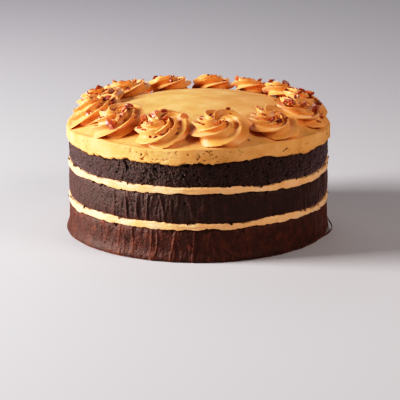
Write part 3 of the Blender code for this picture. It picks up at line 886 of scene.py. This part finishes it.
def rope_skin(index):
    """Star rope on a spiral, in mm round the rosette's own foot.

    Turn t runs along the rope. The ring's radius is level for most of a turn and then draws in;
    the middle of the section climbs at the same time. Round the section, the radius is the rope's
    size less a groove that is the absolute sine of half of RIDGES times the angle; the angle of
    the crests turns with the rope.
    """
    _, half_width, height = ROSETTES[index]
    draw = np.random.default_rng(500 + index)
    start = ROPE_START + draw.uniform(-ROPE_START_CHANGE, ROPE_START_CHANGE)
    turns = ROPE_TURNS + draw.uniform(*ROPE_TURNS_CHANGE)
    section = np.linspace(0.0, math.tau, ROPE_COLUMNS, endpoint=False)[None, :]
    turn = np.linspace(0.0, turns, ROPE_ROWS)[:, None]
    bearing = start + turn * math.tau

    wind_in = ease(turn, *WIND_IN)
    tail = ease(turn, turns - TAIL_TURNS, turns)
    size = ROPE_SHARE * half_width * (1.0 - INNER_THINNING * wind_in)
    size = size * (1.0 - TAIL_THINNING * tail**TAIL_POWER)
    ring = (1.0 - ROPE_SHARE) * half_width * (1.0 - wind_in) + INNER_RING * half_width * wind_in
    ring = ring * (1.0 - TAIL_DRAW_IN * tail)
    low_middle = ROPE_SQUASH * ROPE_SHARE * half_width * ROPE_SEAT
    high_middle = height - ROPE_SQUASH * ROPE_SHARE * half_width * ROPE_CROWN
    middle = low_middle + (high_middle - low_middle) * ease(turn, *CLIMB)
    middle = middle + TAIL_LIFT * tail

    level = 0 * turn + 0 * section
    wave = np.stack([np.cos(section) + level, np.sin(section) + level, turn * WAVE_STRETCH + level], axis=-1)
    crest_turn = section - RIDGE_TWIST * (bearing - start) - draw.uniform(0.0, 1.0)
    groove = np.sqrt(np.sin(RIDGES * crest_turn / 2) ** 2 + RIDGE_EASE**2) - RIDGE_EASE
    # each rosette reads the noise at a place of its own, by the shifts with the index
    uneven = 1.0 + bumps(wave + index * 11.0, RIDGE_CHANGE, 72)
    radius = size * (ROPE_SWELL - RIDGE_DEPTH * uneven * groove)
    crest = np.clip(1.0 - groove * CREST_WIDTH, 0.0, 1.0)
    fine = np.stack([crest_turn * CREST_STRETCH[0] + level, turn * CREST_STRETCH[1] + level, level], axis=-1)
    radius = radius * (1.0 + crest * bumps(fine + index * 5.0, CREST_RAGGED, 73))
    radius = radius * (1.0 + bumps(wave + index * 17.0, ROPE_LUMPS, 74))

    away = ring + radius * np.cos(section)
    rise = middle + ROPE_SQUASH * radius * np.sin(section)
    foot = np.clip(1.0 - rise / TEETH_HEIGHT, 0.0, 1.2) * np.clip(np.cos(section), 0.0, 1.0)
    away = away + TEETH_PUSH * half_width * foot * crest * (1.0 - ease(turn, *TEETH_END))
    rise = np.maximum(rise, 0.0)
    away = away * ROPE_SPREAD
    return np.stack([away * np.sin(bearing), -away * np.cos(bearing), rise], axis=-1)


def rosette(index):
    """Remeshes the rope into one skin, smooths it a little, and sets it on the icing's slope."""
    rope = rope_skin(index)
    start_point = rope[0].mean(axis=0)
    end_point = rope[-1].mean(axis=0)
    rough = closed_piece("rope", rope[::-1], end_point, start_point)
    remesh = rough.modifiers.new("skin", "REMESH")
    remesh.mode = "VOXEL"
    remesh.voxel_size = SKIN_VOXEL * MM
    soften = rough.modifiers.new("soften", "SMOOTH")
    soften.factor = SKIN_SOFTENING
    soften.iterations = 2
    mesh = bpy.data.meshes.new_from_object(rough.evaluated_get(bpy.context.evaluated_depsgraph_get()))
    bpy.data.objects.remove(rough)
    points = np.empty(len(mesh.vertices) * 3)
    mesh.vertices.foreach_get("co", points)
    points = points.reshape(-1, 3) / MM
    middle_x, middle_y = rosette_middle(index)
    points[:, 0] += middle_x
    points[:, 1] += middle_y
    points[:, 2] += icing_height(points[:, 0], points[:, 1]) + CREAM_GAP
    mesh.vertices.foreach_set("co", (points * MM).ravel())
    mesh.shade_smooth()
    mesh.name = f"rosette_{index + 1:02d}_cream"
    piece = bpy.data.objects.new(mesh.name, mesh)
    bpy.context.scene.collection.objects.link(piece)
    return piece


rosette_cream = buttercream("piped_buttercream", ("#da8838", "#e99e4c", "#f4b066"), 0.46, 0.3)
rosettes = []
for index in range(len(ROSETTES)):
    piece = rosette(index)
    piece.data.materials.append(rosette_cream)
    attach(piece, "root")
    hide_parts(f"rosette_{index + 1:02d}")
    rosettes.append(piece)


# Chopped caramel
# Brittle salted caramel, cracked with a knife into shards of 3 to 9 mm and finer crumbs, dropped on
# the rosettes. Broken faces are flat and glassy, red-brown to nearly black.

# bearing in degrees, share of the rosette's half width, and length of each chip, by rosette
CHIPS = (
    ((276, 0.74, 3.6), (37, 0.3, 4)),
    ((20, 0.6, 3.6), (300, 0.45, 3.8)),
    ((282, 0.78, 8), (345, 0.6, 5), (12, 0.35, 6.5), (88, 0.48, 8)),
    ((93, 0.25, 9), (60, 0.8, 5.5), (205, 0.45, 8)),
    ((180, 0.35, 7), (300, 0.75, 4.5)),
    ((150, 0.4, 6.5), (250, 0.5, 4.5)),
    ((80, 0.55, 4.5), (200, 0.4, 5)),
    ((100, 0.4, 5.5), (30, 0.7, 5)),
    ((335, 0.5, 5), (95, 0.75, 5.5), (210, 0.4, 6)),
    ((10, 0.35, 8.5), (262, 0.5, 6.5), (140, 0.4, 5.5)),
    ((250, 0.36, 7), (20, 0.45, 4.5), (62, 0.6, 5.5), (350, 0.75, 7), (185, 0.5, 6)),
    ((346, 0.74, 8), (105, 0.4, 5), (210, 0.45, 5)),
    ((215, 0.45, 6.5), (105, 0.2, 8), (290, 0.5, 4.5), (255, 0.72, 6.5)),
)
SHARD_STATIONS = np.array([-0.5, -0.28, 0.22, 0.5])
SHARD_GIRTH = np.array([0.6, 1.0, 0.9, 0.5])
SHARD_SLANT = np.array([1.0, 0.3, 0.3, 1.0])
SHARD_SIDES = 6
SHARD_SWELL = 1.05
SHARD_CORNERS = (0.55, 1.25)
SHARD_CORNER_CHANGE = (0.8, 1.15)
SHARD_WIDE = (0.34, 0.56)        # half width and half thickness as shares of the length
SHARD_THICK = (0.16, 0.3)
SHARD_CUT = 0.24
SHARD_WEDGE = (0.3, 0.8)
SHARD_SHIFT = 0.3
SHARD_TILT = 0.28
SHARD_LIFT = 0.45                # how far a shard's middle stands off, in half thicknesses
CRUMBS_ON_ROSETTE = (30, 34, 62, 44, 26, 26, 26, 26, 34, 52, 66, 64, 44)
CRUMB_SPREAD = 0.85
CRUMB_SHAPE = (2.4, 0.95)        # of the gamma law of their lengths
CRUMB_RANGE = (0.8, 5.6)
LOOSE_CRUMBS = 70
LOOSE_RING = (52.0, 98.0)
LOOSE_RANGE = (0.6, 1.9)


def shards(name, spots, lengths, seed):
    """Closed shards: a six-sided profile at four stations along each, its corners drawn at random.

    spots are (x, y, z, nx, ny, nz) of the cream under each; every shard lies along the cream with a
    random heading and a small tilt, and is thicker along one side, as a knife wedges it off.
    """
    draw = np.random.default_rng(seed)
    count = len(lengths)
    stations = len(SHARD_STATIONS)
    sides = np.linspace(0.0, math.tau, SHARD_SIDES, endpoint=False)
    corner = draw.uniform(*SHARD_CORNERS, (count, 1, SHARD_SIDES))
    corner = corner * draw.uniform(*SHARD_CORNER_CHANGE, (count, stations, SHARD_SIDES))
    girth = SHARD_GIRTH[None, :, None] * corner
    wide = draw.uniform(*SHARD_WIDE, (count, 1, 1))
    thick = draw.uniform(*SHARD_THICK, (count, 1, 1))
    slant = draw.uniform(-SHARD_CUT, SHARD_CUT, (count, stations, 1))
    slant = slant * np.cos(sides + draw.uniform(0.0, math.tau, (count, 1, 1)))
    along = SHARD_STATIONS[None, :, None] + slant * SHARD_SLANT[None, :, None]
    wedge = 1.0 + draw.uniform(*SHARD_WEDGE, (count, 1, 1)) * np.cos(sides)
    local = np.stack([
        along + 0 * girth,
        wide * (girth * np.cos(sides) + draw.uniform(-SHARD_SHIFT, SHARD_SHIFT, (count, stations, 1))),
        thick * girth * np.sin(sides) * wedge,
    ], axis=-1) * (lengths * SHARD_SWELL)[:, None, None, None]

    upward = spots[:, 3:] + draw.normal(0.0, SHARD_TILT, (count, 3))
    upward /= np.linalg.norm(upward, axis=1, keepdims=True)
    heading = draw.normal(size=(count, 3))
    forward = np.cross(upward, heading)
    forward /= np.linalg.norm(forward, axis=1, keepdims=True)
    side = np.cross(upward, forward)
    turned = (
        local[..., 0:1] * forward[:, None, None, :]
        + local[..., 1:2] * side[:, None, None, :]
        + local[..., 2:3] * upward[:, None, None, :]
    )
    lift = (lengths * thick[:, 0, 0] * SHARD_LIFT)[:, None] * spots[:, 3:]
    points = turned + (spots[:, :3] + lift)[:, None, None, :]

    base = np.arange(count)[:, None, None] * stations * SHARD_SIDES
    row, column = np.meshgrid(np.arange(stations - 1), np.arange(SHARD_SIDES), indexing="ij")
    after = (column + 1) % SHARD_SIDES
    quads = np.stack([
        base + row * SHARD_SIDES + column, base + row * SHARD_SIDES + after,
        base + (row + 1) * SHARD_SIDES + after, base + (row + 1) * SHARD_SIDES + column,
    ], axis=-1).reshape(-1, 4)
    ring = np.arange(SHARD_SIDES)
    starts = (base[:, 0] + ring[::-1]).tolist()
    ends = (base[:, 0] + (stations - 1) * SHARD_SIDES + ring).tolist()
    mesh = bpy.data.meshes.new(name)
    mesh.from_pydata((points.reshape(-1, 3) * MM).tolist(), [], quads.tolist() + starts + ends)
    tone = mesh.attributes.new("tone", "FLOAT", "POINT")
    tone.data.foreach_set("value", np.repeat(draw.uniform(0.0, 1.0, count), stations * SHARD_SIDES))
    piece = bpy.data.objects.new(name, mesh)
    bpy.context.scene.collection.objects.link(piece)
    return piece


def cream_surface():
    """Search tree over the icing and the rosettes, in mm, from their point and triangle arrays."""
    points = []
    faces = []
    first = 0
    for carrier in [icing_piece] + rosettes:
        mesh = carrier.data
        mesh.calc_loop_triangles()
        corners = np.empty(len(mesh.vertices) * 3)
        mesh.vertices.foreach_get("co", corners)
        triangles = np.empty(len(mesh.loop_triangles) * 3, dtype=np.int32)
        mesh.loop_triangles.foreach_get("vertices", triangles)
        points.append(corners.reshape(-1, 3) / MM)
        faces.append(triangles.reshape(-1, 3) + first)
        first += len(mesh.vertices)
    return BVHTree.FromPolygons(
        np.concatenate(points).tolist(), np.concatenate(faces).tolist(), all_triangles=True)


DROP_HEIGHT = 200.0              # above the whole cake


def landings(tree, places):
    """Drops a point at each (x, y) onto the cream; gives (x, y, z, normal) of each."""
    found = []
    for x, y in places:
        spot, normal, _, _ = tree.ray_cast(Vector((x, y, DROP_HEIGHT)), Vector((0.0, 0.0, -1.0)))
        found.append((*spot, *normal))
    return np.array(found)


cream_tree = cream_surface()
chip_places = []
chip_lengths = []
for index, chips in enumerate(CHIPS):
    middle_x, middle_y = rosette_middle(index)
    for bearing, share, length in chips:
        reach = share * ROSETTES[index][1]
        turn = math.radians(bearing)
        chip_places.append((middle_x + reach * math.sin(turn), middle_y - reach * math.cos(turn)))
        chip_lengths.append(length)

crumb_draw = np.random.default_rng(900)
crumb_places = []
crumb_lengths = []
for index in range(len(ROSETTES)):
    middle_x, middle_y = rosette_middle(index)
    half_width = ROSETTES[index][1]
    count = CRUMBS_ON_ROSETTE[index]
    reach = half_width * CRUMB_SPREAD * np.sqrt(crumb_draw.uniform(0.0, 1.0, count))
    turn = crumb_draw.uniform(0.0, math.tau, count)
    crumb_places += zip(middle_x + reach * np.sin(turn), middle_y - reach * np.cos(turn))
    crumb_lengths += list(crumb_draw.gamma(*CRUMB_SHAPE, count).clip(*CRUMB_RANGE))
ring = crumb_draw.uniform(*LOOSE_RING, LOOSE_CRUMBS)
turn = crumb_draw.uniform(0.0, math.tau, LOOSE_CRUMBS)
crumb_places += zip(ring * np.sin(turn), -ring * np.cos(turn))
crumb_lengths += list(crumb_draw.uniform(*LOOSE_RANGE, LOOSE_CRUMBS))


CARAMEL_CLOUD = 1.6
CARAMEL_SCRATCH = 0.5
CARAMEL_SCRATCH_DEPTH = 0.2
CARAMEL_DEPTH = 1.2
CARAMEL_IOR = 1.5
TONE_SHARE = 0.55
CARAMEL_STOPS = ((0.35, "#561508"), (0.6, "#8e3012"), (0.85, "#b6531e"), (1.0, "#d08c50"))


def brittle_caramel():
    """Hard salted caramel, boiled dark and cracked: red-brown glass with a clear hard gloss.

    Each shard has its own tone, from nearly black to orange, and a cloud drifts through it.
    """
    material, tree, shader = new_material("cracked_brittle_caramel")
    place = add_node(tree, "ShaderNodeTexCoord").outputs["Object"]
    tone = add_node(tree, "ShaderNodeAttribute", {"attribute_name": "tone"})
    cloud = add_node(tree, "ShaderNodeTexNoise", None, {
        "Vector": place, "Scale": per_mm(CARAMEL_CLOUD), "Detail": 3.0, "Roughness": 0.6})
    mixed = add_node(tree, "ShaderNodeMath", {"operation": "MULTIPLY_ADD"}, {
        0: tone.outputs["Fac"], 1: TONE_SHARE, 2: cloud.outputs["Fac"]})
    colour = add_node(tree, "ShaderNodeValToRGB", None, {"Fac": mixed.outputs["Value"]}, CARAMEL_STOPS)
    fine = add_node(tree, "ShaderNodeTexNoise", None, {
        "Vector": place, "Scale": per_mm(CARAMEL_SCRATCH), "Detail": 3.0, "Roughness": 0.6})
    bump = add_node(tree, "ShaderNodeBump", None, {
        "Height": fine.outputs["Fac"], "Strength": 0.35, "Distance": CARAMEL_SCRATCH_DEPTH * MM})
    tree.links.new(colour.outputs["Color"], shader.inputs["Base Color"])
    tree.links.new(bump.outputs["Normal"], shader.inputs["Normal"])
    shader.inputs["Roughness"].default_value = 0.36
    shader.inputs["IOR"].default_value = CARAMEL_IOR
    shader.inputs["Coat Weight"].default_value = 0.3
    shader.inputs["Coat Roughness"].default_value = 0.2
    shader.inputs["Subsurface Weight"].default_value = 0.15
    shader.inputs["Subsurface Radius"].default_value = (1.0, 0.3, 0.1)
    shader.inputs["Subsurface Scale"].default_value = CARAMEL_DEPTH * MM
    return material


caramel = brittle_caramel()
for name, places, lengths, seed in (
    ("caramel_chips", chip_places, chip_lengths, 91),
    ("caramel_crumbs", crumb_places, crumb_lengths, 92),
):
    piece = shards(name, landings(cream_tree, places), np.array(lengths), seed)
    piece.data.materials.append(caramel)
    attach(piece, "root")


# Cake crumbs
# Dark crumbs that the knife dragged out of the sponges when they were split and stacked. They are
# stuck to the lips of the buttercream.
CAKE_CRUMBS = {"lower_over": 90, "upper_over": 130, "lower_under": 40, "upper_under": 40, "icing_under": 60}
CAKE_CRUMB_OFFSET = 0.2          # toward the sponge from the line, and how far they scatter
CAKE_CRUMB_SCATTER = 0.5
CAKE_CRUMB_RADIUS = FILLING_RADIUS - 0.3
CAKE_CRUMB_SINK = (-0.3, 0.2)
CAKE_CRUMB_SHAPE = (3.0, 0.36)
CAKE_CRUMB_RANGE = (0.6, 2.6)

cake_draw = np.random.default_rng(950)
crumb_spots = []
for line, count in CAKE_CRUMBS.items():
    azimuth = cake_draw.uniform(0.0, math.tau, count)
    offset = CAKE_CRUMB_OFFSET if line.endswith("over") else -CAKE_CRUMB_OFFSET
    rise = cake_draw.normal(offset, CAKE_CRUMB_SCATTER, count)
    height = line_height(line, np.full(count, SPONGE_RADIUS), azimuth) + rise
    reach = CAKE_CRUMB_RADIUS + cake_draw.uniform(*CAKE_CRUMB_SINK, count)
    outward = polar(np.ones(count), azimuth, np.zeros(count))
    crumb_spots.append(np.concatenate([polar(reach, azimuth, height), outward], axis=1))
crumb_spots = np.concatenate(crumb_spots)
crumb_sizes = cake_draw.gamma(*CAKE_CRUMB_SHAPE, len(crumb_spots)).clip(*CAKE_CRUMB_RANGE)
piece = shards("cake_crumbs", crumb_spots, crumb_sizes, 96)
piece.data.materials.append(
    cocoa_sponge("dry_cocoa_crumb", ("#1c0804", "#2e1109", "#4a2014"), 0.6, 0.25, "#d8a898", 0.6))
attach(piece, "root")


# Floor and light
# A pale paper sweep. The key is a tall soft light from the left and a little in front, a weak one
# stands high behind, and a broad weak fill hangs above at the right front.
FLOOR_SIZE = 6.0                 # in metres, as every length in this section
FLOOR_DROP = 0.0002
SWEEP_START = 1.3
SWEEP_RADIUS = 0.8
SWEEP_STEPS = 24
SWEEP_COLOUR = "#c0bfc5"


def sweep():
    """A floor that curves up into a wall: straight, quarter circle, straight, pulled out sideways."""
    turn = np.linspace(0.0, math.pi / 2, SWEEP_STEPS)
    depth = np.concatenate([[-FLOOR_SIZE / 2], SWEEP_START + SWEEP_RADIUS * np.sin(turn)])
    rise = np.concatenate([[0.0], SWEEP_RADIUS * (1.0 - np.cos(turn))])
    depth = np.append(depth, depth[-1])
    rise = np.append(rise, FLOOR_SIZE / 2)
    side = np.array([-FLOOR_SIZE / 2, FLOOR_SIZE / 2])
    points = [(x, y, z - FLOOR_DROP) for y, z in zip(depth, rise) for x in side]
    faces = [(2 * i, 2 * i + 1, 2 * i + 3, 2 * i + 2) for i in range(len(depth) - 1)]
    mesh = bpy.data.meshes.new("studio_sweep")
    mesh.from_pydata(points, [], faces)
    mesh.shade_smooth()
    piece = bpy.data.objects.new("studio_sweep", mesh)
    bpy.context.scene.collection.objects.link(piece)
    return piece


floor = sweep()
# seamless background paper, uncoated and matt
paper, _, shader = new_material("studio_paper")
shader.inputs["Base Color"].default_value = linear(SWEEP_COLOUR)
shader.inputs["Roughness"].default_value = 0.9
floor.data.materials.append(paper)


# name, place, target, size, power in watts and colour
LIGHTS = (
    ("key", (-1.16, -0.15, 0.47), (0.0, 0.0, 0.05), (0.5, 0.8), 35.0, "#fffcf8"),
    ("back", (-0.3, 1.2, 0.9), (0.0, 0.0, 0.08), (1.0, 0.5), 2.4, "#fbfbff"),
    ("fill", (0.95, -0.6, 0.85), (0.0, 0.0, 0.05), (0.6, 0.5), 7.6, "#fff0e4"),
)
AIR_COLOUR = "#dfe0e6"
AIR_STRENGTH = 0.08


def soft_light(name, place, target, size, power, colour):
    """A rectangular area light aimed at a point."""
    data = bpy.data.lights.new(name, "AREA")
    data.shape = "RECTANGLE"
    data.size, data.size_y = size
    data.energy = power
    data.color = linear(colour)[:3]
    light = bpy.data.objects.new(name, data)
    bpy.context.scene.collection.objects.link(light)
    light.location = place
    light.rotation_euler = (Vector(target) - Vector(place)).to_track_quat("-Z", "Y").to_euler()


for light_values in LIGHTS:
    soft_light(*light_values)

world = bpy.data.worlds.new("studio")
bpy.context.scene.world = world
world.use_nodes = True
world.node_tree.nodes["Background"].inputs["Color"].default_value = linear(AIR_COLOUR)
world.node_tree.nodes["Background"].inputs["Strength"].default_value = AIR_STRENGTH
view = bpy.context.scene.view_settings
view.view_transform = "Standard"
view.look = "High Contrast"

# The brightest light rolls off softly, as in a camera: steep in the darks, then a long shoulder.
# The places are shares of BRIGHTEST, the scene light that comes out nearly white.
BRIGHTEST = 3.0
SHOULDER = ((0.0, 0.0), (0.1, 0.3), (0.2, 0.53), (0.32, 0.66), (0.6, 0.82), (1.0, 0.94))
view.use_curve_mapping = True
view.curve_mapping.white_level = (BRIGHTEST, BRIGHTEST, BRIGHTEST)
curve = view.curve_mapping.curves[3]
curve.points[0].location = SHOULDER[0]
curve.points[1].location = SHOULDER[-1]
for light_in, light_out in SHOULDER[1:-1]:
    curve.points.new(light_in, light_out)
view.curve_mapping.update()
